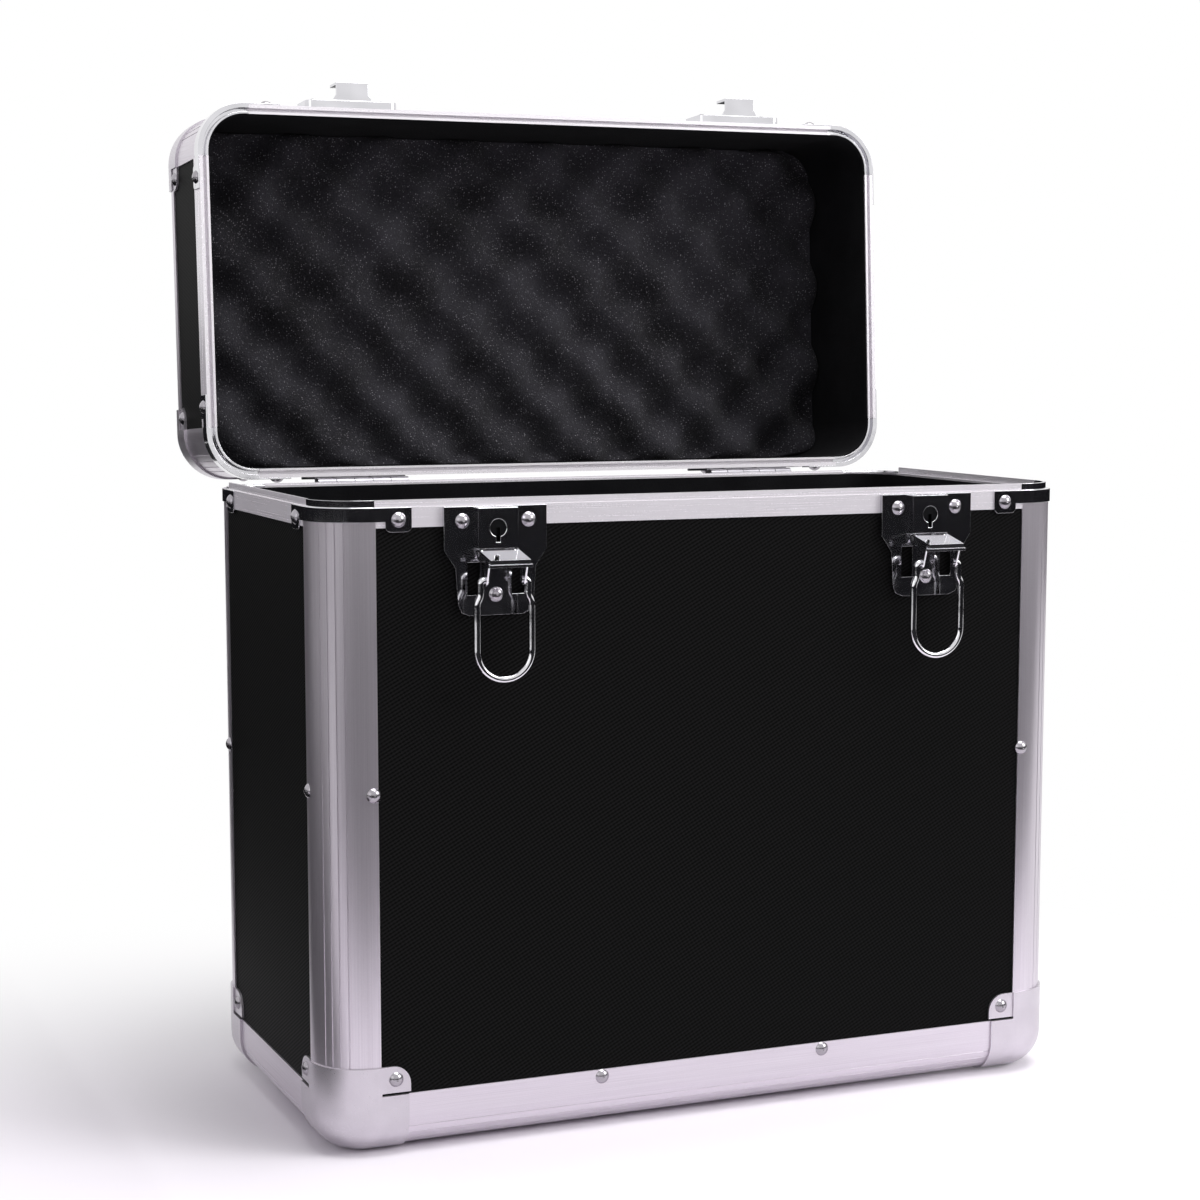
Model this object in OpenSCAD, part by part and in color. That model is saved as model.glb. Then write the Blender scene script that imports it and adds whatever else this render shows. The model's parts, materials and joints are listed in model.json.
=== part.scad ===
// Record carrying case: laminated boards held in aluminium edge profiles, with a deep hinged lid
// that stands open at its stop, two draw latches, riveted steel corners and a folding handle.
// Millimetres. Origin: centre of the base, at the height of the ground. +X right, +Y back, +Z up.

/* [Case] */
// Width over the profiles
case_w = 360; // [300:1:420]
// Depth over the profiles
case_d = 176; // [150:1:220]
// Height of the body's closing face above the ground
parting_z = 276.3; // [220:0.1:340]
// Height of the lid from its closing face to its top
lid_h = 75; // [60:1:110]
// Gap between the closing faces when the lid is down
lid_gap = 0.3; // [0.2:0.1:0.8]
// Angle that the lid stands open at its stop
lid_open = 93.2; // [90:0.1:100]

/* [Boards] */
// Thickness of the laminated boards
board_t = 2.5; // [2:0.1:4]
// Thickness of the black liner
liner_t = 0.6; // [0.4:0.1:1.5]
// Depth of the liner's upper edge below the closing face
liner_drop = 1; // [0.5:0.1:3]

/* [Aluminium profiles] */
// Wall thickness of every profile
wall_t = 0.7; // [0.6:0.1:1]
// Radius of the case's upright corners
corner_r = 22; // [18:0.5:24]
// Leg width of the corner posts
post_leg = 24; // [24:0.5:32]
// Radius of the bottom edge profiles
edge_r = 16; // [10:0.5:18]
// Leg width of the bottom edge profiles
edge_leg = 25.5; // [20:0.5:32]
// Radius of the lid's top edge profiles
lid_edge_r = 15; // [10:0.5:17]
// Leg width of the lid's top edge profiles
lid_edge_leg = 18; // [17.5:0.5:26]
// Radius of the fine grooves along the profiles
groove_r = 0.3; // [0.2:0.05:0.4]
// Angle between neighbouring grooves on the posts
post_groove_step = 10; // [6:1:14]
// Angle between neighbouring grooves on the edge profiles
edge_groove_step = 13.3; // [8:0.1:16]

/* [Closing profiles] */
// Height of the body rim's outer flange
rim_flange = 8.5; // [6:0.5:14]
// Height of the lid rim's outer flange
lid_flange = 11.4; // [9:0.1:16]
// How far the lid's rim stands proud of the lid's posts
lid_proud = 0.6; // [0:0.1:1]
// Thickness of the closing web of the body's rim
rim_web = 1.3; // [1:0.1:2]
// Depth of the groove in the lid's rim
groove_d = 3.3; // [2.5:0.1:4]
// Thickness of the tongue on the body's rim
tongue_t = 1.3; // [1:0.1:1.6]
// Height of the tongue at the front and the sides
tongue_h = 3; // [2:0.1:3.2]
// Height of the tongue on the hinge side
rear_tongue_h = 0.8; // [0.4:0.1:1]
// Clearance on each side of the tongue
tongue_clear = 0.2; // [0.15:0.05:0.3]
// Thickness of the lid rim's inner lip
lip_t = 1.1; // [0.8:0.1:1.4]

/* [Steel corners] */
// Sheet thickness of the domed corner caps
cap_t = 1; // [0.8:0.1:1.5]
// Reach of a bottom corner cap along the edges
cap_reach = 36; // [32:1:48]
// Height of a bottom corner cap
cap_h = 38; // [34:1:50]
// Reach of a lid corner cap along the edges
lid_cap_reach = 34; // [32:1:46]
// Height of a lid corner cap
lid_cap_h = 27; // [24:1:34]
// Rounding of a cap's ear
ear_r = 8; // [4:0.5:8]
// Width of the slit under a cap's ear
slit_w = 1; // [0.6:0.1:1.6]
// Sheet thickness of the rim corners
rim_corner_t = 0.7; // [0.5:0.1:1]
// Height of a rim corner's band
band_h = 6; // [5:0.5:7]
// Near edge of a rim corner's tab, from the case's corner
tab_near = 28; // [26:0.5:32]
// Width of a rim corner's tab
tab_w = 11.5; // [10:0.5:16]
// Height of a rim corner's tab
tab_h = 10.3; // [9:0.1:11]

/* [Rivets] */
// Head diameter of the rivets
rivet_d = 6.4; // [5:0.1:7]
// Head height of the rivets
rivet_h = 1.8; // [1.4:0.1:2.4]
// Shank diameter of the rivets
shank_d = 3.2; // [2.5:0.1:4]
// Height of the rivets half way up the posts
post_rivet_z = 155; // [120:1:190]
// Place of the post rivets across a post's leg
post_rivet_in = 22; // [21:0.5:23]
// Spacing of the two rivets in each long bottom profile
edge_rivet_span = 109; // [80:1:160]

/* [Latches] */
// Distance of each latch's middle from the end of the case
latch_in = 76; // [66:1:90]
// Width of the latch plate at its rivets
plate_w = 46; // [44:1:52]
// Width of the latch plate at its foot
plate_foot_w = 34; // [31:1:38]
// Height of the latch plate
plate_h = 46; // [44:1:50]
// Depth of the pressed latch plate
plate_d = 2.2; // [2:0.1:2.4]
// Sheet thickness of the latch parts
sheet_t = 0.8; // [0.6:0.1:1]
// Width of the raised lock box
box_w = 18; // [16:0.5:18]
// Height of the raised lock box
box_h = 17.2; // [15:0.1:17.2]
// How far the lock box stands out
box_d = 5.5; // [5:0.1:6]
// Diameter of the keyhole
keyhole_d = 7.3; // [6:0.1:8]
// Clearance round the turning lock core
core_clear = 0.08; // [0.02:0.01:0.1]
// Depth of the lever's pivot below the closing face
pivot_drop = 20.3; // [20.3:0.1:21]
// How far the lever's pivot stands out from the front
pivot_out = 4.6; // [4.4:0.1:5]
// Diameter of the lever's pin
lever_pin_d = 2.2; // [1.8:0.1:2.4]
// Running clearance of pins in their holes
pin_clear = 0.05; // [0.02:0.01:0.1]
// Droop of the open lever below level
lever_droop = 13; // [8:1:18]
// Length of the lever from its pivot
lever_l = 15.5; // [14:0.5:16]
// Width over the lever's cheeks
lever_w = 17.7; // [17.7:0.1:18]
// Turn of the lever from open to closed
lever_turn = 44; // [43:1:45]
// Distance from the lever's pivot to the bail's pivot
bail_arm = 12.9; // [12.5:0.1:13]
// Slope of the arm to the bail's pivot, below the lever's plate
bail_arm_angle = 40; // [39:1:42]
// Wire diameter of the bail
wire_d = 3; // [2.4:0.1:3]
// Centre radius of the bail's bend
bail_r = 12.2; // [12:0.1:12.6]
// Length of the bail from its pivot to the middle of its bend
bail_l = 42; // [41:0.5:43]

/* [Catches] */
// Width of the catch on the lid
catch_w = 46; // [40:1:52]
// Height of the catch on the lid
catch_h = 20; // [16:1:26]
// How far the catch's pan stands out
catch_d = 4.2; // [3:0.1:4.4]
// Width of the catch's hook
hook_w = 16; // [12:0.5:16.5]
// Reach of the hook's outer face from the front
hook_reach = 13; // [12.5:0.1:13.5]
// Height of the hook's tip above the lid's closing face
hook_tip = 12; // [10:0.5:14]

/* [Hinges] */
// Distance of each hinge's middle from the end of the case
hinge_in = 75; // [66:1:90]
// Length of each hinge
hinge_l = 46; // [36:1:60]
// Distance of the hinge axis behind the case
hinge_out = 4.2; // [4:0.1:4.6]
// Depth of the hinge axis below the closing face
hinge_drop = 0.5; // [0.2:0.1:0.8]
// Thickness of the hinge leaves
leaf_t = 1.2; // [1:0.1:1.4]
// Height of each hinge leaf
leaf_h = 27; // [22:1:34]
// Diameter of the hinge pins
hinge_pin_d = 2.6; // [2.2:0.1:3]

/* [Foam] */
// Mean thickness of the profiled foam in the lid
foam_t = 12; // [10:0.5:16]
// Height of the foam's waves above and below the mean
foam_wave = 7.5; // [4:0.5:7.5]
// Length of one wave of the foam
foam_pitch = 44.5; // [35:0.5:55]
// Place of one of the foam's peaks across the lid, from its middle
foam_peak_x = -7.5; // [-22:0.5:22]
// Place of that peak from the middle towards the hinges
foam_peak_y = -9.5; // [-22:0.5:22]
// Gap between the foam and the liner
foam_gap = 0.4; // [0.3:0.1:1]

/* [Handle] */
// Distance between the handle's pivots
handle_span = 124; // [100:1:150]
// Reach of the grip's centre line from the pivots
handle_reach = 28; // [24:1:34]
// Width of the grip
grip_w = 17; // [14:0.5:20]
// Thickness of the grip
grip_t = 11; // [9:0.5:12]
// Height of the pivots above the lid's top board
handle_rise = 8; // [7.5:0.5:10]
// Diameter of the handle's pins
handle_pin_d = 5; // [4:0.1:6]

/* [Hidden] */

$fn = 48;
big = 1000;                                       // longer than anything in the case
eps = 0.01;                                       // lets a cut pass right through a face
over = 5;                                         // how far a cutting solid runs past its work

board_in = wall_t + board_t;                      // depth of the boards' inner faces
skin_in = board_in + wall_t;                      // depth of the profiles' inner faces
liner_in = skin_in + liner_t;                     // depth of the liner's inner face
body_h = parting_z - cap_t;                       // body from its profiles' underside to its rim
lid_web = groove_d + 1;                           // closing web of the lid's rim
tongue_in = lip_t + tongue_clear;                 // from the rim's inner face to the tongue
lid_z0 = parting_z + lid_gap;                     // closing face of the closed lid
lid_top_z = lid_z0 + lid_h;                       // top of the closed lid
hinge_y = case_d / 2 + hinge_out;
hinge_z = parting_z - hinge_drop;
front_y = -case_d / 2;
eye_d = 12;                                       // outer diameter of the handle's eyes
handle_z = lid_top_z - wall_t + handle_rise;      // pivots of the handle on the closed lid
front_reach = case_d / 2 + pivot_out + (lever_l + sheet_t) * cos(lever_droop);
back_reach = hinge_y * (1 - cos(lid_open)) + (handle_z - hinge_z) * sin(lid_open) + eye_d / 2;
stand_y = (back_reach - front_reach) / 2;         // middle of the footprint with the lid open
latch_x = case_w / 2 - latch_in;
hinge_x = case_w / 2 - hinge_in;

// ---- shared frames -------------------------------------------------------------------------

// Sets the whole case over the middle of its footprint.
module stand() {
    translate([0, -stand_y, 0]) children();
}

// Body: the tray stands on its corner caps.
module body_place() {
    translate([0, 0, cap_t]) children();
}

// Lid: the same kind of tray turned over, closed on the body.
module lid_closed() {
    translate([0, 0, lid_top_z]) mirror([0, 0, 1]) children();
}

// Turns what is on the closed lid to where the lid stands open.
module lid_turned() {
    translate([0, hinge_y, hinge_z])
        rotate([-lid_open, 0, 0])
            translate([0, -hinge_y, -hinge_z]) children();
}

module lid_place() {
    lid_turned() lid_closed() children();
}

// Length of wall 0 front, 1 right, 2 back, 3 left.
function wall_len(i) = i % 2 == 0 ? case_w : case_d;
function wall_off(i) = i % 2 == 0 ? case_d / 2 : case_w / 2;

// Puts a wall's frame in place: x along the wall, y inward from its outer plane.
module at_wall(i) {
    rotate([0, 0, 90 * i]) translate([0, -wall_off(i), 0]) children();
}

// Puts a corner's frame in place: x and y inward from the two outer planes.
module at_corner(i) {
    sx = (i == 0 || i == 3) ? -1 : 1;
    sy = i < 2 ? -1 : 1;
    translate([sx * case_w / 2, sy * case_d / 2, 0]) rotate([0, 0, 90 * i]) children();
}

// Extrudes an upright outline (x, z) outward from the front plane, between two distances.
module outward(from, to) {
    translate([0, -from, 0]) rotate([90, 0, 0]) linear_extrude(to - from) children();
}

// Puts an outline (out, up) on a plane of constant x, between two x values.
module across(from, to) {
    translate([from, 0, 0])
        rotate([90, 0, 90]) linear_extrude(to - from) mirror([1, 0]) children();
}

// ---- rivets --------------------------------------------------------------------------------

// Domed rivet whose head sits at z = 0 and whose shank runs down.
module rivet(depth) {
    ball_r = (pow(rivet_d / 2, 2) + pow(rivet_h, 2)) / (2 * rivet_h);
    intersection() {
        translate([0, 0, rivet_h - ball_r]) sphere(ball_r);
        cylinder(d = rivet_d + over, h = rivet_h + over);
    }
    translate([0, 0, -depth]) cylinder(d = shank_d, h = depth + rivet_h / 2);
}

// Rivet driven into a wall's frame at (x, z), its head on a face that stands out by out.
module wall_rivet(x, z, out, depth) {
    translate([x, -out, z]) rotate([90, 0, 0]) rivet(depth);
}

ear_past = 1;                                             // an ear's end past its cap
ear_x = (post_leg + cap_reach + ear_past) / 2;            // middle of a bottom cap's ear
ear_z = (edge_leg + slit_w + cap_h) / 2;
lid_ear_x = (post_leg + lid_cap_reach + ear_past) / 2;
lid_ear_z = (lid_edge_leg + slit_w + lid_cap_h) / 2;
ear_out = cap_t - wall_t;                                 // an ear lies on the recessed board
tab_x = tab_near + tab_w / 2;
tab_z = tab_h / 2;
rivet_depth = wall_t + board_t;

// The rivets of both trays, in the wall's frame, for a wall of length len and a tray of height h.
module tray_rivets(len, h, cap_x, cap_z, rim_out) {
    for (s = [-1, 1]) {
        wall_rivet(s * (len / 2 - cap_x), cap_z, ear_out, ear_out + rivet_depth);
        wall_rivet(s * (len / 2 - tab_x), h - tab_z, rim_out + rim_corner_t,
                   rim_out + rim_corner_t + rivet_depth);
    }
}

// The rivets of the posts and of the long bottom profiles.
module profile_rivets(i) {
    for (s = [-1, 1]) {
        wall_rivet(s * (wall_len(i) / 2 - post_rivet_in), post_rivet_z, 0, rivet_depth);
        if (i % 2 == 0)
            wall_rivet(s * edge_rivet_span / 2, edge_leg - rivet_d / 2, 0, rivet_depth);
    }
}

module body_rivets() {
    body_place() for (i = [0:3]) at_wall(i) {
        tray_rivets(wall_len(i), body_h, ear_x, ear_z, 0);
        profile_rivets(i);
    }
}

module lid_tray_rivets() {
    lid_closed() for (i = [0:3]) at_wall(i)
        tray_rivets(wall_len(i), lid_h, lid_ear_x, lid_ear_z, lid_proud);
}

// ---- trays: boards, liner, posts, edge profiles and rims ------------------------------------

module wall_board(i, h, edge, web) {
    half = wall_len(i) / 2 - corner_r;
    at_wall(i) translate([-half, wall_t, edge]) cube([2 * half, board_t, h - web - edge]);
}

module flat_board(edge) {
    w = case_w - 2 * edge;
    d = case_d - 2 * edge;
    translate([-w / 2, -d / 2, wall_t]) cube([w, d, board_t]);
}

// Outline with rounded corners, inset by in from the outer planes.
module inset_outline(in) {
    r = corner_r - in;
    for (s = [-1, 1]) for (t = [-1, 1])
        translate([s * (case_w / 2 - corner_r), t * (case_d / 2 - corner_r)]) circle(r);
    square([case_w - 2 * in, case_d - 2 * corner_r], center = true);
    square([case_w - 2 * corner_r, case_d - 2 * in], center = true);
}

// Outline of a wall-to-wall section of width w with rounded lower corners, inset by in.
module section_outline(w, h, in, r) {
    for (s = [-1, 1]) translate([s * (w / 2 - r), r]) circle(r - in);
    translate([-w / 2 + r, in]) square([w - 2 * r, h - in]);
    translate([-w / 2 + in, r]) square([w - 2 * in, h - r]);
}

// Inside of a tray, inset by in from the outer planes: rounded in plan and along its lower edges.
module inside(h, in, r) {
    intersection() {
        linear_extrude(h) inset_outline(in);
        translate([0, case_d / 2, 0]) rotate([90, 0, 0])
            linear_extrude(case_d) section_outline(case_w, h, in, r);
        translate([-case_w / 2, 0, 0]) rotate([90, 0, 90])
            linear_extrude(case_w) section_outline(case_d, h, in, r);
    }
}

module liner(h, r) {
    difference() {
        inside(h - liner_drop, skin_in, r);
        inside(h + over, liner_in, r);
    }
}

// Square with one corner rounded to radius r about the point (c, c).
module rounded_square(a, r, c) {
    difference() {
        square(a);
        difference() {
            square(c);
            translate([c, c]) circle(r);
        }
    }
}

// Section of an angle profile that grips a board in each leg.
module angle_section(leg, r, step, count) {
    difference() {
        union() {
            difference() {
                rounded_square(leg, r, r);
                translate([wall_t, wall_t]) rounded_square(leg, r - wall_t, r - wall_t);
            }
            difference() {
                translate([board_in, board_in])
                    rounded_square(leg - board_in, r - board_in, r - board_in);
                translate([skin_in, skin_in]) rounded_square(leg, r - skin_in, r - skin_in);
            }
            translate([r - wall_t, wall_t / 2]) square([wall_t, board_in]);
            translate([wall_t / 2, r - wall_t]) square([board_in, wall_t]);
        }
        for (k = [0:count - 1]) {
            turn = 225 + (k - (count - 1) / 2) * step;
            translate([r + r * cos(turn), r + r * sin(turn)]) circle(groove_r);
        }
    }
}

module post(i, h, low, top) {
    at_corner(i) translate([0, 0, low])
        linear_extrude(h - top - low) angle_section(post_leg, corner_r, post_groove_step, 4);
}

// Bottom or top edge profile along wall i, its section turned into the corner of wall and base.
module edge_profile(i, leg, r) {
    half = wall_len(i) / 2 - max(leg, corner_r);
    at_wall(i) translate([-half, 0, 0])
        rotate([90, 0, 90]) linear_extrude(2 * half) angle_section(leg, r, edge_groove_step, 5);
}

// Section of the closing profile: x inward from the posts' outer plane, y up from the rim.
module rim_section(flange, proud, web) {
    translate([-proud, -web]) square([skin_in + proud, web]);
    translate([-proud, -flange]) square([wall_t + proud, flange]);
    translate([board_in, -flange]) square([wall_t, flange]);
}

module tongue_section(height) {
    translate([skin_in - tongue_in - tongue_t, -rim_web / 2]) square([tongue_t, height + rim_web / 2]);
}

module groove_section() {
    translate([skin_in - lip_t - tongue_t - 2 * tongue_clear, -groove_d])
        square([tongue_t + 2 * tongue_clear, groove_d + over]);
}

// Straight closing profile along wall i, between the posts.
module rim_profile(i, h) {
    half = wall_len(i) / 2 - post_leg;
    at_wall(i) translate([-half, 0, h]) rotate([90, 0, 90]) linear_extrude(2 * half) children();
}

// ---- steel corners -------------------------------------------------------------------------

// Outline of a wall and base seen along the edge, set out by off.
module corner_outline(off, r, span) {
    translate([r, -off]) square([span - r, span + off]);
    translate([-off, r]) square([span + off, span - r]);
    translate([r, r]) circle(r + off);
}

// Solid of a tray's lower corner, set out by off from the profiles.
module corner_solid(off, r, span) {
    translate([corner_r, corner_r, 0]) rotate([0, 0, 180]) rotate_extrude(angle = 90)
        intersection() {
            mirror([1, 0]) translate([-corner_r, 0]) corner_outline(off, r, span);
            translate([0, -off]) square([corner_r + off, span + off]);
        }
    translate([corner_r, 0, 0]) rotate([90, 0, 90])
        linear_extrude(span - corner_r) corner_outline(off, r, span);
    translate([0, span, 0]) rotate([90, 0, 0])
        linear_extrude(span - corner_r) corner_outline(off, r, span);
}

// Ear of a cap on wall x, laid on the recessed board: outline in x and z.
module ear_outline(reach, leg, h) {
    x1 = reach + ear_past;
    z0 = leg + slit_w;
    r = min(ear_r, h - z0 - slit_w);
    translate([post_leg, z0]) square([x1 - post_leg, h - z0 - r]);
    translate([post_leg, z0]) square([x1 - post_leg - r, h - z0]);
    intersection() {
        translate([x1 - r, h - r]) circle(r);
        translate([post_leg, z0]) square([x1 - post_leg, h - z0]);
    }
}

module corner_cap(reach, h, r, leg) {
    span = reach + over;
    intersection() {
        difference() {
            corner_solid(cap_t, r, span);
            corner_solid(0, r, span + over);
        }
        union() {
            translate([-cap_t, -cap_t, -cap_t]) cube([post_leg + cap_t, post_leg + cap_t, h + cap_t]);
            translate([-cap_t, -cap_t, -cap_t]) cube([reach + cap_t, reach + cap_t, leg + cap_t]);
        }
    }
    for (m = [0, 1]) mirror([m, -m, 0])
        translate([0, wall_t, 0]) rotate([90, 0, 0]) linear_extrude(cap_t)
            ear_outline(reach, leg, h);
}

tab_r = 2.5;                                              // rounding of a tab's lower corners

// Tab of a rim corner, hanging from the rim's closing face.
module tab_outline() {
    for (x = [tab_near + tab_r, tab_near + tab_w - tab_r])
        translate([x, -tab_h + tab_r]) circle(tab_r);
    translate([tab_near, -tab_h + tab_r]) square([tab_w, tab_h - tab_r]);
    translate([tab_near + tab_r, -tab_h]) square([tab_w - 2 * tab_r, tab_h]);
}

// Sweeps a section (x inward, y up) round the corner and along both legs as far as the posts go.
module round_corner() {
    translate([corner_r, corner_r, 0]) rotate([0, 0, 180]) rotate_extrude(angle = 90)
        mirror([1, 0]) translate([-corner_r, 0]) children();
    for (m = [0, 1]) mirror([m, -m, 0])
        translate([corner_r, 0, 0]) rotate([90, 0, 90])
            linear_extrude(post_leg - corner_r) children();
}

module rim_tabs(proud) {
    for (m = [0, 1]) mirror([m, -m, 0]) translate([0, -proud, 0]) {
        rotate([90, 0, 0]) linear_extrude(rim_corner_t) tab_outline();
        translate([post_leg - eps, -rim_corner_t, -band_h])
            cube([tab_near + tab_w / 2 - post_leg, rim_corner_t, band_h]);
    }
}

module body_rim_corner(height) {
    round_corner() {
        translate([-rim_corner_t, -band_h]) square([rim_corner_t, band_h]);
        translate([-rim_corner_t, -rim_corner_t]) square([skin_in + rim_corner_t, rim_corner_t]);
        translate([skin_in - tongue_in - tongue_t, -rim_corner_t / 2])
            square([tongue_t, height + rim_corner_t / 2]);
    }
    rim_tabs(0);
}

module lid_rim_corner() {
    out = lid_proud + rim_corner_t;
    round_corner() {
        difference() {
            translate([-out, -lid_web]) square([skin_in + out, lid_web]);
            groove_section();
        }
        translate([-out, -lid_web - band_h / 2]) square([out, lid_web + band_h / 2]);
    }
    rim_tabs(lid_proud);
}

// ---- latches -------------------------------------------------------------------------------

plate_top = parting_z - lid_gap;
plate_shoulder = 18.4;                                    // height of the plate's wide part
plate_taper = 7.4;                                        // height over which it narrows
plate_flare = 1;                                          // it is this much wider above the foot
plate_r = 5;                                              // rounding of the plate's foot
box_inset = 0.4;                                          // lock box below the plate's top edge
box_top = plate_top - box_inset;
box_low = box_top - box_h;
pivot_z = parting_z - pivot_drop;
foot_z = plate_top - plate_h;
plate_rivet_in = 8.2;                                     // upper rivets from the plate's sides
plate_rivet_down = 6;                                     // upper rivets from its top
plate_rivet_up = 8.7;                                     // lower rivet from its foot
key_z = box_top - box_h / 2;
key_slot_w = 1.8;
key_slot_l = 6;
core_in = 0.6;                                            // lock core's ends inside the box
core_groove = 2.4;                                        // depth of the key's groove
cheek_in = lever_w / 2 - sheet_t;                         // inner face of the lever's cheeks
cheek_gap = 0.25;                                         // side clearance of lugs and wire
lug_out = cheek_in - cheek_gap;
wire_near = lever_w / 2 + cheek_gap + wire_d / 2;         // wire's centre beside the cheeks
stub_past = 0.6;                                          // bail's wire inside the cheeks
stub_in = cheek_in - stub_past;
bail_slope = lever_droop + bail_arm_angle;                // slope of the arm when open
bail_out = pivot_out + bail_arm * cos(bail_slope);
bail_z = pivot_z - bail_arm * sin(bail_slope);
shut_slope = bail_slope + lever_turn;                     // slope of the arm when closed
shut_out = pivot_out + bail_arm * cos(shut_slope);
shut_z = pivot_z - bail_arm * sin(shut_slope);
slot_clear = 0.6;                                         // round the closed bail's wire
slot_below = 3;                                           // slots' ends from the closed bail's pivot
slot_above = 9.3;
slot_low = shut_z - wire_d / 2 - slot_below;
slot_top = shut_z + slot_above;
slot_in = stub_in - cheek_gap;
slot_out = wire_near + wire_d / 2 + slot_clear;
boss_wall = 0.9;                                          // ring of sheet round the bail's pivot
boss_r = wire_d / 2 + boss_wall;
knuckle = 2;                                              // ring of sheet round the lever's pin
plate_near = knuckle + 0.3;                               // lever's plate starts past the lugs
pin_past = 0.2;                                           // ends of the lever's pin
lever_top = knuckle + 0.1;                                // upper face of the lever's plate
lip_h = 2.5;                                              // lever's turned-down finger lip
curl_h = 1.2;                                             // bead along the lip's lower edge
curl_out = 0.6;
curl_past = 0.9;
jog_top = 5;                                              // bail's outward bends below its pivot
jog_l = 6;
collar = 0.08;                                            // swelling where those bends meet
collar_l = 0.8;

// Puts a latch part in place: side -1 left, 1 right.
module at_latch(side) {
    translate([side * latch_x, front_y, 0]) children();
}

module plate_outline(in) {
    w = plate_w / 2 - in;
    f = plate_foot_w / 2 - in;
    shoulder = plate_top - plate_shoulder;
    waist = shoulder - plate_taper;
    low = foot_z + in;
    r = plate_r - in;
    k = r * (1 - sqrt(0.5));
    polygon([
        [-w, plate_top - in], [w, plate_top - in], [w, shoulder], [f + plate_flare, waist],
        [f, low + r], [f - k, low + k], [f - r, low],
        [r - f, low], [k - f, low + k], [-f, low + r],
        [-f - plate_flare, waist], [-w, shoulder],
    ]);
}

module box_outline(in) {
    translate([in - box_w / 2, box_low + in]) square([box_w - 2 * in, box_h - 2 * in]);
}

module keyhole_outline(d) {
    translate([0, key_z]) circle(d = d);
    translate([-key_slot_w / 2, key_z - key_slot_l]) square([key_slot_w, key_slot_l]);
}

module latch_plate_body() {
    difference() {
        outward(0, plate_d) plate_outline(0);
        outward(-eps, plate_d - sheet_t) plate_outline(sheet_t);
        outward(0, plate_d + over) box_outline(0);
        for (s = [-1, 1])
            outward(0, plate_d + over)
                translate([s > 0 ? slot_in : -slot_out, slot_low])
                    square([slot_out - slot_in, slot_top - slot_low]);
    }
    // bosses under the rivets, and the two lugs that carry the lever's pin
    for (p = plate_rivets())
        outward(0, plate_d) translate(p) circle(d = rivet_d);
    difference() {
        for (s = [-1, 1])
            across(s > 0 ? lug_out - sheet_t : -lug_out, s > 0 ? lug_out : sheet_t - lug_out) {
                translate([plate_d - sheet_t, pivot_z - knuckle])
                    square([pivot_out - plate_d + sheet_t, 2 * knuckle]);
                translate([pivot_out, pivot_z]) circle(knuckle);
            }
        translate([-big / 2, -pivot_out, pivot_z]) rotate([0, 90, 0]) cylinder(d = lever_pin_d, h = big);
    }
}

function plate_rivets() = [
    [-plate_w / 2 + plate_rivet_in, plate_top - plate_rivet_down],
    [plate_w / 2 - plate_rivet_in, plate_top - plate_rivet_down],
    [0, foot_z + plate_rivet_up],
];

// Cover of the lock, let into the plate's opening: a pressed box with a keyhole.
module lock_box(side) {
    color("silver") at_latch(side) difference() {
        outward(0, box_d) box_outline(0);
        outward(-eps, box_d - sheet_t) box_outline(sheet_t);
        outward(0, box_d + over) keyhole_outline(keyhole_d);
    }
}

module latch_rivets(side) {
    at_latch(side) for (p = plate_rivets())
        wall_rivet(p[0], p[1], plate_d, plate_d + rivet_depth);
}

module latch_plate(side) {
    color("silver") difference() {
        at_latch(side) latch_plate_body();
        latch_rivets(side);
    }
}

module lock_core(side) {
    color("dimgray") at_latch(side) difference() {
        outward(core_in, box_d - core_in)
            translate([0, key_z]) circle(d = keyhole_d - 2 * core_clear);
        outward(box_d - core_groove, box_d + over)
            translate([-key_slot_w / 2, key_z - keyhole_d]) square([key_slot_w, keyhole_d]);
    }
}

module lever_pins() {
    color("silver") for (side = [-1, 1]) at_latch(side)
        translate([-lever_w / 2 - pin_past, -pivot_out, pivot_z])
            rotate([0, 90, 0]) cylinder(d = lever_pin_d, h = lever_w + 2 * pin_past);
}

// Lever in its own frame: origin at its pin, x along its plate, y across it.
module cheek_outline() {
    b = [bail_arm * cos(bail_arm_angle), -bail_arm * sin(bail_arm_angle)];
    circle(knuckle);
    translate(b) circle(boss_r);
    polygon([
        [0, lever_top], [lever_l - knuckle, lever_top], [b[0] + boss_r, b[1]],
        [b[0] - boss_r, b[1]], [b[0] / 2, -boss_r], [0, -knuckle],
    ]);
}

module lever_holes() {
    circle(d = lever_pin_d + 2 * pin_clear);
    translate([bail_arm * cos(bail_arm_angle), -bail_arm * sin(bail_arm_angle)])
        circle(d = wire_d + 2 * pin_clear);
}

module lever(side) {
    color("silver") at_latch(side) translate([0, -pivot_out, pivot_z]) rotate([lever_droop, 0, 0]) {
        for (s = [-1, 1])
            across(s > 0 ? cheek_in : -lever_w / 2, s > 0 ? lever_w / 2 : -cheek_in)
                difference() {
                    cheek_outline();
                    lever_holes();
                }
        across(-lever_w / 2, lever_w / 2) {
            translate([plate_near, lever_top - sheet_t]) square([lever_l - plate_near, sheet_t]);
            translate([lever_l - sheet_t, lever_top - lip_h]) square([sheet_t, lip_h]);
        }
        across(-lever_w / 2 - curl_past, lever_w / 2 + curl_past)
            translate([lever_l - sheet_t, lever_top - lip_h - curl_out])
                square([sheet_t + curl_out, curl_h]);
    }
}

// Bail in its own frame: origin at its pivot, wire hanging down.
module wire_bend(x, z, r, from, turn) {
    translate([x, 0, z]) rotate([90, 0, 0]) rotate([0, 0, from])
        rotate_extrude(angle = turn) translate([r, 0]) circle(d = wire_d);
}

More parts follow.
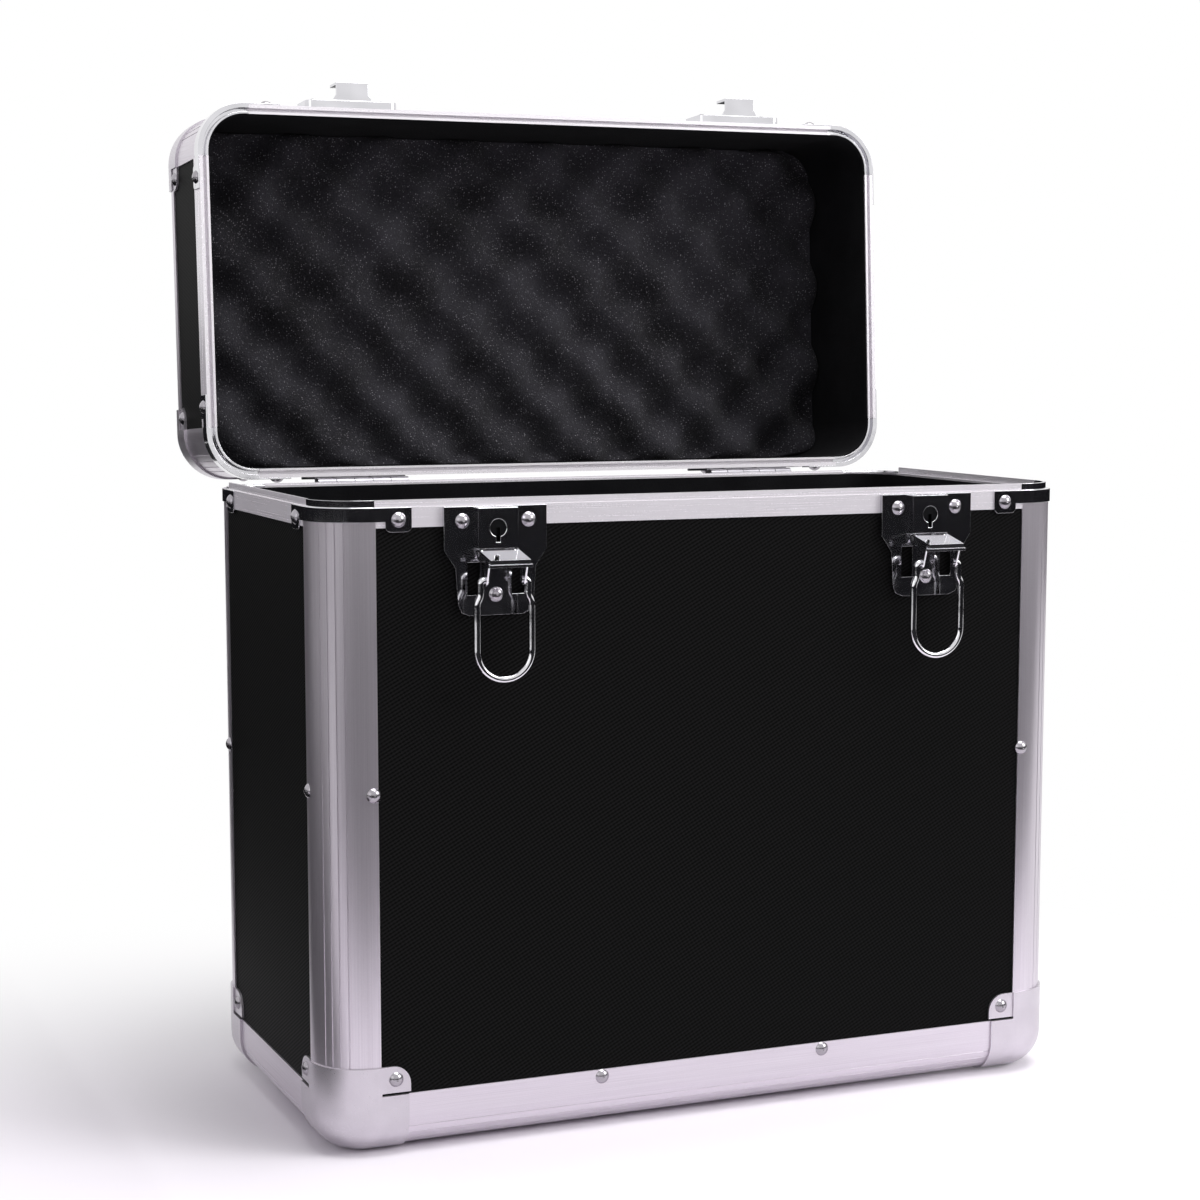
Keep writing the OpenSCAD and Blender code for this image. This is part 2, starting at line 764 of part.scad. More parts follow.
module bail_half() {
    bend = wire_d / 2 + 0.1;
    step = bail_r - wire_near;
    turn = 2 * atan(step / jog_l);
    jog_r = jog_l / (2 * sin(turn));
    run = bail_l - bail_r;
    translate([stub_in, 0, 0]) rotate([0, 90, 0])
        cylinder(d = wire_d, h = wire_near - bend - stub_in);
    wire_bend(wire_near - bend, -bend, bend, 0, 90);
    translate([wire_near, 0, -jog_top]) cylinder(d = wire_d, h = jog_top - bend);
    wire_bend(wire_near + jog_r, -jog_top, jog_r, 180, turn);
    wire_bend(bail_r - jog_r, -jog_top - jog_l, jog_r, 0, turn);
    // the wire swells slightly where the two bends meet
    translate([(wire_near + bail_r) / 2, 0, -jog_top - jog_l / 2]) rotate([0, -turn, 0])
        cylinder(d = wire_d + collar, h = collar_l, center = true);
    translate([bail_r, 0, -run]) cylinder(d = wire_d, h = run - jog_top - jog_l);
}

module bail(side) {
    color("silver") at_latch(side) translate([0, -bail_out, bail_z]) {
        bail_half();
        mirror([1, 0, 0]) bail_half();
        wire_bend(0, bail_r - bail_l, bail_r, 180, 180);
    }
}

// ---- catches on the lid ---------------------------------------------------------------------

hook_t = 1.4;
hook_flare = 2.5;                                         // the foot's reach beside the hook
hook_foot = 3;                                            // the foot's reach out of the pan
catch_low = 1;                                            // catch's lower edge above the rim
catch_r = 4;                                              // rounding of the catch's corners
catch_rivet_in = 6;                                       // its rivets from its ends
seat_gap = 0.3;                                           // between the hooked wire and the hook
bend_in = bail_r - wire_d / 2;                            // inner radius of the bail's bend
hook_sag = bail_r - sqrt(pow(bend_in, 2) - pow(hook_w / 2, 2));
seat_out = hook_reach - hook_t - wire_d / 2 - seat_gap;   // the hooked wire's distance outward
seat_z = shut_z + sqrt(pow(bail_l, 2) - pow(seat_out - shut_out, 2)) - hook_sag - lid_z0;
ledge_top = seat_z - seat_gap;                            // clear of the bend at its corners

function catch_rivets() = [
    [-catch_w / 2 + catch_rivet_in, catch_low + catch_h / 2],
    [catch_w / 2 - catch_rivet_in, catch_low + catch_h / 2],
];

module catch_outline(in) {
    r = catch_r - in;
    for (x = [in + r - catch_w / 2, catch_w / 2 - in - r])
        for (z = [catch_low + in + r, catch_low + catch_h - in - r])
            translate([x, z]) circle(r);
    translate([in - catch_w / 2, catch_low + catch_r])
        square([catch_w - 2 * in, catch_h - 2 * catch_r]);
    translate([catch_r - catch_w / 2, catch_low + in])
        square([catch_w - 2 * catch_r, catch_h - 2 * in]);
}

module catch_body() {
    difference() {
        union() {
            outward(lid_proud, catch_d) catch_outline(0);
            intersection() {
                outward(-wall_t, catch_d) catch_outline(0);
                translate([-big / 2, -big / 2, lid_flange]) cube(big);
            }
        }
        outward(-wall_t - eps, catch_d - sheet_t) catch_outline(sheet_t);
    }
    for (p = catch_rivets())
        outward(lid_proud, catch_d) translate(p) circle(d = rivet_d);
    // ledge with a flared foot, and upright tip of the hook
    foot_w = hook_w / 2 + hook_flare;
    translate([0, 0, ledge_top - hook_t]) linear_extrude(hook_t) polygon([
        [-foot_w, sheet_t - catch_d], [foot_w, sheet_t - catch_d],
        [hook_w / 2, -catch_d - hook_foot], [hook_w / 2, -hook_reach],
        [-hook_w / 2, -hook_reach], [-hook_w / 2, -catch_d - hook_foot],
    ]);
    across(-hook_w / 2, hook_w / 2)
        translate([hook_reach - hook_t, ledge_top - hook_t])
            square([hook_t, hook_tip - ledge_top + hook_t]);
}

module at_catch(side) {
    translate([side * latch_x, front_y, lid_z0]) children();
}

module catch_rivet_set(side) {
    at_catch(side) for (p = catch_rivets())
        wall_rivet(p[0], p[1], catch_d, catch_d + rivet_depth);
}

module catch_piece(side) {
    color("silver") lid_turned() difference() {
        at_catch(side) catch_body();
        catch_rivet_set(side);
    }
}

// ---- hinges --------------------------------------------------------------------------------

barrel_r = hinge_out - leaf_t;
barrel_gap = 0.3;
segment = hinge_l / 5;                                    // three body and two lid knuckles
stop_gap = 0.3;
leaf_gap = 0.4;                                           // between a leaf and the other's barrels
nose_in = 1;                                              // stop noses inside their knuckles
nose_t = 1.6;
nose_out = 3.6;                                           // their reach past the barrel
nose_near = 0.6;                                          // their start past the pin
hinge_rivet_in = 8;                                       // rivets from a leaf's ends
hinge_rivet_up = 6;                                       // rivets from a leaf's free edge

// Puts a hinge part in place: x along the pin, y outward from the back, z up from the axis.
module at_hinge(side) {
    translate([side * hinge_x, hinge_y, hinge_z]) children();
}

// One barrel segment k of a hinge, with its web towards the case, bored for the pin.
module barrel(k, bore, up) {
    x0 = -hinge_l / 2 + k * segment + (k == 0 ? 0 : barrel_gap / 2);
    x1 = -hinge_l / 2 + (k + 1) * segment - (k == 4 ? 0 : barrel_gap / 2);
    translate([x0, 0, 0]) rotate([90, 0, 90]) linear_extrude(x1 - x0) difference() {
        union() {
            circle(barrel_r);
            if (up) translate([-barrel_r, 0]) square([barrel_r, barrel_r + leaf_gap]);
            else translate([-hinge_out, -barrel_r]) square([hinge_out, barrel_r]);
        }
        circle(d = bore);
    }
}

module body_leaf() {
    for (k = [0, 2, 4]) barrel(k, hinge_pin_d, false);
    top = -barrel_r - leaf_gap;
    foot = rim_flange - hinge_drop;
    translate([-hinge_l / 2, -hinge_out, -leaf_h]) cube([hinge_l, leaf_t, leaf_h + top]);
    translate([-hinge_l / 2, -hinge_out - wall_t, -leaf_h])
        cube([hinge_l, wall_t + eps, leaf_h - foot]);
    for (k = [0, 2, 4])
        translate([-hinge_l / 2 + k * segment + nose_in, -hinge_out, top - nose_in])
            cube([segment - 2 * nose_in, leaf_t, nose_in - top]);
    // stop noses: the lid's leaves come down on them when the lid is open
    for (k = [0, 4])
        translate([-hinge_l / 2 + k * segment + nose_in, 0, 0]) rotate([90 - lid_open, 0, 0])
            translate([0, hinge_pin_d / 2 + nose_near, -nose_t])
                cube([segment - 2 * nose_in, barrel_r + nose_out - hinge_pin_d / 2,
                      nose_t + stop_level]);
}

lid_leaf_out = hinge_out - lid_proud - leaf_t;            // lid leaf's outer face from the axis
stop_level = lid_leaf_out - stop_gap;

module lid_leaf() {
    z0 = barrel_r + leaf_gap;
    step_z = hinge_drop + lid_gap + lid_flange;
    for (k = [1, 3]) {
        barrel(k, hinge_pin_d + 2 * pin_clear, true);
        translate([-hinge_l / 2 + k * segment + barrel_gap / 2, -lid_leaf_out - leaf_t, z0 / 2])
            cube([segment - barrel_gap, leaf_t, z0]);
    }
    translate([-hinge_l / 2, -lid_leaf_out - leaf_t, z0]) cube([hinge_l, leaf_t, leaf_h - z0]);
    translate([-hinge_l / 2, -hinge_out - wall_t, step_z])
        cube([hinge_l, hinge_out + wall_t - lid_leaf_out - eps, leaf_h - step_z]);
}

function hinge_rivet_x() = [hinge_rivet_in - hinge_l / 2, hinge_l / 2 - hinge_rivet_in];

// Rivets of the body's leaves; the lid's follow in the same way from the lid leaf's outer face.
module hinge_rivets_body() {
    for (side = [-1, 1]) at_hinge(side) for (x = hinge_rivet_x())
        translate([x, leaf_t - hinge_out, hinge_rivet_up - leaf_h])
            rotate([-90, 0, 0]) rivet(leaf_t + wall_t + board_t);
}

module hinge_rivets_lid() {
    for (side = [-1, 1]) at_hinge(side) for (x = hinge_rivet_x())
        translate([x, -lid_leaf_out, leaf_h - hinge_rivet_up])
            rotate([-90, 0, 0]) rivet(leaf_t + lid_proud + wall_t + board_t);
}

// ---- foam in the lid -------------------------------------------------------------------------

foam_nx = 46;
foam_ny = 22;
foam_w = case_w - 2 * (liner_in + foam_gap);
foam_d = case_d - 2 * (liner_in + foam_gap);
foam_r = corner_r - liner_in - foam_gap;
foam_rim = 9;                                             // least height of the foam's rim
foam_end = 0.5;                                           // slant of its front and back rows
foam_in = lid_edge_r - liner_in;                          // how far its base is drawn in
glue = 0.1;                                               // film between foam and liner

// Half width of the foam at the distance y from its middle, with rounded corners.
function foam_half(y) =
    let (over = abs(y) - (foam_d / 2 - foam_r))
    foam_w / 2 - (over > 0 ? foam_r - sqrt(max(0, foam_r * foam_r - over * over)) : 0);
function foam_y(j) = foam_end - foam_d / 2 + j * (foam_d - 2 * foam_end) / foam_ny;
function foam_x(i, j) = (2 * i / foam_nx - 1) * foam_half(foam_y(j));
function foam_top(x, y) =
    foam_t + foam_wave * cos(360 * (x - foam_peak_x) / foam_pitch)
        * cos(360 * (y - foam_peak_y) / foam_pitch);
// The foam's rim stands high enough to clear the liner's rounded lower edge.
function foam_point(i, j) =
    let (x = foam_x(i, j), y = foam_y(j), rim = i == 0 || i == foam_nx || j == 0 || j == foam_ny)
    [x, y, rim ? max(foam_rim, foam_top(x, y)) : foam_top(x, y)];
function foam_base(side, j) =
    [side * (foam_half(foam_y(j)) - foam_in), foam_y(j) * (1 - 2 * foam_in / foam_d), 0];

module foam_block() {
    row = foam_nx + 1;
    last = foam_ny * row;
    count = row * (foam_ny + 1);
    top = [for (j = [0:foam_ny]) for (i = [0:foam_nx]) foam_point(i, j)];
    base = [for (side = [-1, 1]) for (j = [0:foam_ny]) foam_base(side, j)];
    right = count + foam_ny + 1;
    waves = [for (j = [0:foam_ny - 1]) for (i = [0:foam_nx - 1]) for (h = [0, 1])
        h == 0 ? [j * row + i, (j + 1) * row + i + 1, j * row + i + 1]
               : [j * row + i, (j + 1) * row + i, (j + 1) * row + i + 1]];
    left_side = [for (j = [0:foam_ny - 1]) for (h = [0, 1])
        h == 0 ? [j * row, count + j, count + j + 1]
               : [j * row, count + j + 1, (j + 1) * row]];
    right_side = [for (j = [0:foam_ny - 1]) for (h = [0, 1])
        h == 0 ? [j * row + foam_nx, right + j + 1, right + j]
               : [j * row + foam_nx, (j + 1) * row + foam_nx, right + j + 1]];
    floor = [for (j = [0:foam_ny - 1]) for (h = [0, 1])
        h == 0 ? [count + j, right + j, right + j + 1] : [count + j, right + j + 1, count + j + 1]];
    front = concat([for (i = [0:foam_nx - 1]) [i, i + 1, count]], [[foam_nx, right, count]]);
    back = concat(
        [for (i = [0:foam_nx - 1]) [last + i + 1, last + i, count + foam_ny]],
        [[last + foam_nx, count + foam_ny, right + foam_ny]]);
    polyhedron(points = concat(top, base),
               faces = concat(waves, left_side, right_side, floor, front, back));
}

// ---- handle on the lid -----------------------------------------------------------------------

hang = lid_open - 90;                                     // how far the hanging grip stands off
bracket_w = 9;
bracket_l = 34;
bracket_t = 1.6;
bracket_rivet_in = 5;                                     // bracket's rivets from its ends
arm_t = 8;
arm_gap = 0.5;

bracket_x = handle_span / 2 + arm_t / 2 + arm_gap + bracket_w / 2;
bracket_rivet_y = bracket_l / 2 - bracket_rivet_in;

module at_handle() {
    translate([0, 0, handle_z]) children();
}

// Foot and eye at one end; the eye lies outside the handle's arm, and the pin points inward.
module bracket(side) {
    x = side * bracket_x;
    difference() {
        translate([x, 0, 0]) {
            translate([-bracket_w / 2, -eye_d / 2, -handle_rise + bracket_t / 2])
                cube([bracket_w, eye_d, handle_rise - bracket_t / 2]);
            rotate([0, 90, 0]) cylinder(d = eye_d, h = bracket_w, center = true);
            translate([-bracket_w, -bracket_l / 2, -handle_rise])
                cube([2 * bracket_w, bracket_l, bracket_t]);
        }
        for (y = [-1, 1])
            translate([x, y * bracket_rivet_y, -handle_rise + bracket_t])
                rivet(bracket_t + board_t);
    }
    translate([side * (handle_span / 2 - arm_t / 2), 0, 0]) rotate([0, side * 90, 0])
        cylinder(d = handle_pin_d, h = arm_t + 2 * arm_gap);
}

module handle_rivets() {
    at_handle() for (side = [-1, 1]) for (y = [-1, 1])
        translate([side * bracket_x, y * bracket_rivet_y, -handle_rise + bracket_t])
            rivet(bracket_t + board_t);
}

// Grip outline across the handle: x along the arms, y through the thickness.
module grip_outline() {
    r = grip_t / 2;
    translate([handle_reach - grip_w / 2 + r, 0]) circle(r);
    translate([handle_reach + grip_w / 2 - r, 0]) circle(r);
    translate([handle_reach - grip_w / 2 + r, -r]) square([grip_w - grip_t, grip_t]);
}

module handle_body() {
    difference() {
        union() {
            translate([-handle_span / 2 + arm_t / 2, 0, 0]) rotate([90, 0, 90])
                linear_extrude(handle_span - arm_t) grip_outline();
            for (side = [-1, 1]) translate([side * handle_span / 2 - arm_t / 2, 0, 0])
                rotate([90, 0, 90]) linear_extrude(arm_t) {
                    circle(d = grip_t);
                    translate([0, -grip_t / 2]) square([handle_reach, grip_t]);
                    grip_outline();
                }
        }
        for (side = [-1, 1]) translate([side * handle_span / 2, 0, 0]) rotate([0, 90, 0])
            cylinder(d = handle_pin_d + 2 * pin_clear, h = arm_t + over, center = true);
    }
}

// ---- nodes -----------------------------------------------------------------------------------

module body_board(i) {
    color("#161616") difference() {
        body_place() wall_board(i, body_h, edge_r, rim_web);
        body_rivets();
        latch_rivets(-1);
        latch_rivets(1);
        hinge_rivets_body();
    }
}

module lid_board(i) {
    color("#161616") lid_turned() difference() {
        lid_closed() wall_board(i, lid_h, lid_edge_r, lid_web);
        lid_tray_rivets();
        catch_rivet_set(-1);
        catch_rivet_set(1);
        hinge_rivets_lid();
    }
}

module body_post(i) {
    color("#cfc8cd") difference() {
        body_place() post(i, body_h, edge_leg, rim_corner_t);
        body_rivets();
    }
}

module body_edge(i) {
    color("#cfc8cd") difference() {
        body_place() edge_profile(i, edge_leg, edge_r);
        body_rivets();
    }
}

module lid_edge(i) {
    color("#cfc8cd") lid_place() edge_profile(i, lid_edge_leg, lid_edge_r);
}

module body_rim(i) {
    height = i == 2 ? rear_tongue_h : tongue_h;
    color("#d8d2d6") difference() {
        body_place() rim_profile(i, body_h) {
            rim_section(rim_flange, 0, rim_web);
            tongue_section(height);
        }
        body_rivets();
        latch_rivets(-1);
        latch_rivets(1);
    }
}

module lid_rim(i) {
    color("#d8d2d6") lid_turned() difference() {
        lid_closed() rim_profile(i, lid_h) difference() {
            rim_section(lid_flange, lid_proud, lid_web);
            groove_section();
        }
        lid_tray_rivets();
        catch_rivet_set(-1);
        catch_rivet_set(1);
    }
}

module corner_caps() {
    color("#d6d2d8") difference() {
        body_place() for (i = [0:3]) at_corner(i) corner_cap(cap_reach, cap_h, edge_r, edge_leg);
        body_rivets();
    }
}

module lid_caps() {
    color("#d6d2d8") lid_turned() difference() {
        lid_closed() for (i = [0:3]) at_corner(i)
            corner_cap(lid_cap_reach, lid_cap_h, lid_edge_r, lid_edge_leg);
        lid_tray_rivets();
    }
}

module rim_corners() {
    color("silver") difference() {
        body_place() for (i = [0:3]) at_corner(i) translate([0, 0, body_h])
            body_rim_corner(i < 2 ? tongue_h : rear_tongue_h);
        body_rivets();
    }
}

module lid_rim_corners() {
    color("silver") lid_turned() difference() {
        lid_closed() for (i = [0:3]) at_corner(i) translate([0, 0, lid_h]) lid_rim_corner();
        lid_tray_rivets();
    }
}

module rivets_body() {
    color("gainsboro") {
        body_rivets();
        latch_rivets(-1);
        latch_rivets(1);
        hinge_rivets_body();
    }
}

module rivets_lid() {
    color("gainsboro") lid_turned() {
        lid_tray_rivets();
        catch_rivet_set(-1);
        catch_rivet_set(1);
        hinge_rivets_lid();
        handle_rivets();
    }
}

module lid_top_board() {
    color("#161616") lid_turned() difference() {
        lid_closed() flat_board(lid_edge_r);
        handle_rivets();
    }
}

module lid_posts() {
    color("#cfc8cd") lid_turned() difference() {
        lid_closed() for (i = [0:3]) post(i, lid_h, lid_edge_leg, lid_web);
        lid_tray_rivets();
    }
}

module hinge_leaves_body() {
    color("silver") difference() {
        for (side = [-1, 1]) at_hinge(side) body_leaf();
        hinge_rivets_body();
    }
}

module hinge_leaves_lid() {
    color("silver") lid_turned() difference() {
        for (side = [-1, 1]) at_hinge(side) lid_leaf();
        hinge_rivets_lid();
    }
}

module hinge_pins() {
    color("gainsboro") for (side = [-1, 1]) at_hinge(side)
        translate([-hinge_l / 2, 0, 0]) rotate([0, 90, 0]) cylinder(d = hinge_pin_d, h = hinge_l);
}

module handle_brackets() {
    color("silver") lid_turned() at_handle() for (side = [-1, 1]) bracket(side);
}

module handle() {
    color("#1b1b1d") lid_turned() at_handle() rotate([hang, 0, 0]) handle_body();
}

stand() body_board(0);  // panel_front
stand() body_board(1);  // panel_right
stand() body_board(2);  // panel_back
stand() body_board(3);  // panel_left
stand() color("#161616") body_place() flat_board(edge_r);  // panel_bottom
stand() color("#202022") body_place() liner(body_h, edge_r);  // liner_body
stand() body_post(0);  // post_front_left
stand() body_post(1);  // post_front_right
stand() body_post(2);  // post_back_right
stand() body_post(3);  // post_back_left
stand() body_edge(0);  // edge_front
stand() body_edge(1);  // edge_right
stand() body_edge(2);  // edge_back
stand() body_edge(3);  // edge_left
stand() body_rim(0);  // rim_front
stand() body_rim(1);  // rim_right
stand() body_rim(2);  // rim_back
stand() body_rim(3);  // rim_left
stand() corner_caps();
stand() rim_corners();
stand() rivets_body();
stand() latch_plate(-1);  // latch_plate_left
stand() latch_plate(1);  // latch_plate_right
stand() lock_box(-1);  // lock_box_left
stand() lock_box(1);  // lock_box_right
stand() lever_pins();
stand() hinge_leaves_body();
stand() hinge_pins();
stand() lock_core(-1);  // lock_core_left
stand() lock_core(1);  // lock_core_right
stand() lever(-1);  // lever_left
stand() lever(1);  // lever_right
stand() bail(-1);  // bail_left
stand() bail(1);  // bail_right
stand() lid_top_board();  // lid_top
stand() lid_board(0);  // lid_front
stand() lid_board(1);  // lid_right
stand() lid_board(2);  // lid_back
stand() lid_board(3);  // lid_left
stand() color("#202022") lid_place() liner(lid_h, lid_edge_r);  // liner_lid
stand() color("#2b292e") lid_place() translate([0, 0, liner_in + glue]) foam_block();  // lid_foam
stand() lid_posts();
stand() lid_edge(0);  // lid_edge_front
stand() lid_edge(1);  // lid_edge_right
stand() lid_edge(2);  // lid_edge_back
stand() lid_edge(3);  // lid_edge_left
stand() lid_rim(0);  // lid_rim_front
stand() lid_rim(1);  // lid_rim_right
stand() lid_rim(2);  // lid_rim_back
stand() lid_rim(3);  // lid_rim_left
stand() lid_caps();
stand() lid_rim_corners();
stand() rivets_lid();
stand() catch_piece(-1);  // catch_left
stand() catch_piece(1);  // catch_right
stand() hinge_leaves_lid();
stand() handle_brackets();
stand() handle();
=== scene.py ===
import bpy
import json
import math
from mathutils import Matrix, Vector


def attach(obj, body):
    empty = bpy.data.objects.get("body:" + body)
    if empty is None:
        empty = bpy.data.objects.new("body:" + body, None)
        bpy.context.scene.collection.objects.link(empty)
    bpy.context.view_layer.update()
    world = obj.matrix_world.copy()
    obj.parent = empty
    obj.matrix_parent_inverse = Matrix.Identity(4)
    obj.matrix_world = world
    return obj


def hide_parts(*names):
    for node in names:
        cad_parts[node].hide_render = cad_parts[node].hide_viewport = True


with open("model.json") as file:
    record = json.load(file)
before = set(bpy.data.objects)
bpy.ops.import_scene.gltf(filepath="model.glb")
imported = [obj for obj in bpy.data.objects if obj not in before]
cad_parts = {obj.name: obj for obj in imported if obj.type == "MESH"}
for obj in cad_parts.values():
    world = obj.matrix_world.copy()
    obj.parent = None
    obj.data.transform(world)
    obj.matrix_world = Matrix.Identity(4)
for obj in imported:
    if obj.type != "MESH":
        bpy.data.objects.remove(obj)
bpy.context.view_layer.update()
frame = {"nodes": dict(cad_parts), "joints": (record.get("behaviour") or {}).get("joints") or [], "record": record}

cad = frame["nodes"]


# Camera. A case on a pale studio table, seen from the front, a little from its left and above,
# with a long lens: the place, turn and lens come from the edges of the case in the photograph.
camera = bpy.data.objects.new("camera", bpy.data.cameras.new("camera"))
bpy.context.scene.collection.objects.link(camera)
camera.location = (-0.4634, -1.0928, 0.3445)
camera.rotation_euler = (math.radians(90 - 6.75), 0, math.radians(-22.89))
camera.data.lens = 73.59
camera.data.shift_y = 0.0263
camera.data.clip_end = 20
bpy.context.scene.camera = camera


# Laminated boards. Five plywood boards for the body and five for the lid, faced with black melamine
# that was pressed against a twill plate: a fine slanting rib every millimetre and a half, satin black.
def linear(hex_colour):
    """sRGB hex to the linear colour that a shader reads."""
    parts = [int(hex_colour[i:i + 2], 16) / 255 for i in (1, 3, 5)]
    return [c / 12.92 if c <= 0.04045 else ((c + 0.055) / 1.055) ** 2.4 for c in parts] + [1.0]


def add(tree, kind, inputs=None, **settings):
    """One node with its settings, its values and its links."""
    made = tree.nodes.new(kind)
    for name, value in settings.items():
        setattr(made, name, value)
    for name, value in (inputs or {}).items():
        if isinstance(value, bpy.types.NodeSocket):
            tree.links.new(value, made.inputs[name])
        else:
            made.inputs[name].default_value = value
    return made


def start_material(name):
    material = bpy.data.materials.new(name)
    material.use_nodes = True
    material.node_tree.nodes.clear()
    return material, material.node_tree


def paint(pieces, material):
    """Gives each piece this material alone."""
    for piece in pieces:
        piece.data.materials.clear()
        piece.data.materials.append(material)


def ramp(tree, factor, stops):
    """A colour ramp through (place, hex colour) stops."""
    made = add(tree, "ShaderNodeValToRGB", {"Fac": factor})
    while len(made.color_ramp.elements) < len(stops):
        made.color_ramp.elements.new(0.5)
    for element, (place, colour) in zip(made.color_ramp.elements, stops):
        element.position = place
        element.color = linear(colour)
    return made


def twill_laminate(name, turn):
    """turn lays the board's face into the pattern's XY plane."""
    rib_mm = 1.5
    material, tree = start_material(name)
    place = add(tree, "ShaderNodeTexCoord")
    flat = add(tree, "ShaderNodeMapping", {"Vector": place.outputs["Object"], "Rotation": turn})
    slant = add(tree, "ShaderNodeMapping", {"Vector": flat.outputs["Vector"],
                                            "Rotation": (0, 0, math.radians(62))})
    rib = add(tree, "ShaderNodeTexWave", {
        "Vector": slant.outputs["Vector"], "Scale": math.pi / 10 / (rib_mm / 1000),
        "Distortion": 0.15, "Detail": 1.0, "Detail Scale": 2.0}, bands_direction="X")
    weft = add(tree, "ShaderNodeTexWave", {
        "Vector": slant.outputs["Vector"], "Scale": math.pi / 10 / (1.7 / 1000),
        "Distortion": 0.0}, bands_direction="Y")
    grain = add(tree, "ShaderNodeTexNoise", {
        "Vector": place.outputs["Object"], "Scale": 900.0, "Detail": 2.0})
    relief = add(tree, "ShaderNodeMath", {0: rib.outputs["Fac"], 1: 0.7}, operation="MULTIPLY")
    relief = add(tree, "ShaderNodeMath", {0: weft.outputs["Fac"], 1: 0.2, 2: relief.outputs[0]},
                 operation="MULTIPLY_ADD")
    relief = add(tree, "ShaderNodeMath", {0: grain.outputs["Fac"], 1: 0.15, 2: relief.outputs[0]},
                 operation="MULTIPLY_ADD")
    bump = add(tree, "ShaderNodeBump", {"Height": relief.outputs[0], "Distance": 0.00012,
                                        "Strength": 0.4})
    colour = ramp(tree, relief.outputs[0], [(0.15, "#080808"), (0.85, "#191919")])
    rough = add(tree, "ShaderNodeMapRange", {"Value": relief.outputs[0], "To Min": 0.56,
                                             "To Max": 0.44})
    shader = add(tree, "ShaderNodeBsdfPrincipled", {
        "Base Color": colour.outputs["Color"], "Roughness": rough.outputs["Result"],
        "Specular IOR Level": 0.02, "Normal": bump.outputs["Normal"]})
    add(tree, "ShaderNodeOutputMaterial", {"Surface": shader.outputs["BSDF"]})
    return material


laminate_upright = twill_laminate("melamine_twill_front_and_back", (math.radians(-90), 0, 0))
laminate_side = twill_laminate("melamine_twill_sides", (0, math.radians(90), math.radians(90)))
laminate_level = twill_laminate("melamine_twill_level", (0, 0, 0))
paint([cad[n] for n in ("panel_front", "panel_back", "lid_top")], laminate_upright)
paint([cad[n] for n in ("panel_left", "panel_right", "lid_left", "lid_right")], laminate_side)
paint([cad[n] for n in ("panel_bottom", "lid_front", "lid_back")], laminate_level)


# Lining. A thin black non-woven felt glued to the inside of the body and of the lid: quite matt,
# with a short tangled nap that catches a little light at a low angle.
def black_felt():
    material, tree = start_material("black_nonwoven_felt")
    place = add(tree, "ShaderNodeTexCoord")
    nap = add(tree, "ShaderNodeTexNoise", {
        "Vector": place.outputs["Object"], "Scale": 1400.0, "Detail": 4.0, "Roughness": 0.7})
    cloud = add(tree, "ShaderNodeTexNoise", {
        "Vector": place.outputs["Object"], "Scale": 40.0, "Detail": 2.0})
    mixed = add(tree, "ShaderNodeMath", {0: nap.outputs["Fac"], 1: cloud.outputs["Fac"]},
                operation="MULTIPLY")
    colour = ramp(tree, mixed.outputs[0], [(0.12, "#0e0e10"), (0.42, "#1a1a1c")])
    bump = add(tree, "ShaderNodeBump", {"Height": nap.outputs["Fac"], "Distance": 0.0003,
                                        "Strength": 0.6})
    shader = add(tree, "ShaderNodeBsdfPrincipled", {
        "Base Color": colour.outputs["Color"], "Roughness": 0.95, "Specular IOR Level": 0.05,
        "Sheen Weight": 0.02, "Sheen Roughness": 0.5, "Normal": bump.outputs["Normal"]})
    add(tree, "ShaderNodeOutputMaterial", {"Surface": shader.outputs["BSDF"]})
    return material


paint([cad["liner_body"], cad["liner_lid"]], black_felt())


# Corner posts and edge profiles. Extruded aluminium angles that grip the boards, with fine ribs
# along the round; satin anodised, so light runs along them in a soft streak with a faint grain.
def anodised_extrusion(name, stretch, low, high, metal=0.9, rough=0.32):
    """stretch squeezes the grain so that its streaks run along the profile."""
    material, tree = start_material(name)
    place = add(tree, "ShaderNodeTexCoord")
    along = add(tree, "ShaderNodeMapping", {"Vector": place.outputs["Object"], "Scale": stretch})
    grain = add(tree, "ShaderNodeTexNoise", {
        "Vector": along.outputs["Vector"], "Scale": 1.0, "Detail": 3.0, "Roughness": 0.6})
    speck = add(tree, "ShaderNodeTexNoise", {
        "Vector": place.outputs["Object"], "Scale": 1600.0, "Detail": 2.0, "Roughness": 0.7})
    blend = add(tree, "ShaderNodeMath", {0: speck.outputs["Fac"], 1: 0.35,
                                         2: grain.outputs["Fac"]}, operation="MULTIPLY_ADD")
    colour = ramp(tree, blend.outputs[0], [(0.4, low), (0.95, high)])
    bump = add(tree, "ShaderNodeBump", {"Height": blend.outputs[0], "Distance": 0.00001,
                                        "Strength": 0.3})
    gloss = add(tree, "ShaderNodeMapRange", {"Value": blend.outputs[0], "From Min": 0.4,
                                             "From Max": 0.95, "To Min": rough + 0.03,
                                             "To Max": rough - 0.03})
    shader = add(tree, "ShaderNodeBsdfPrincipled", {
        "Base Color": colour.outputs["Color"], "Metallic": metal,
        "Roughness": gloss.outputs["Result"], "Normal": bump.outputs["Normal"]})
    add(tree, "ShaderNodeOutputMaterial", {"Surface": shader.outputs["BSDF"]})
    return material


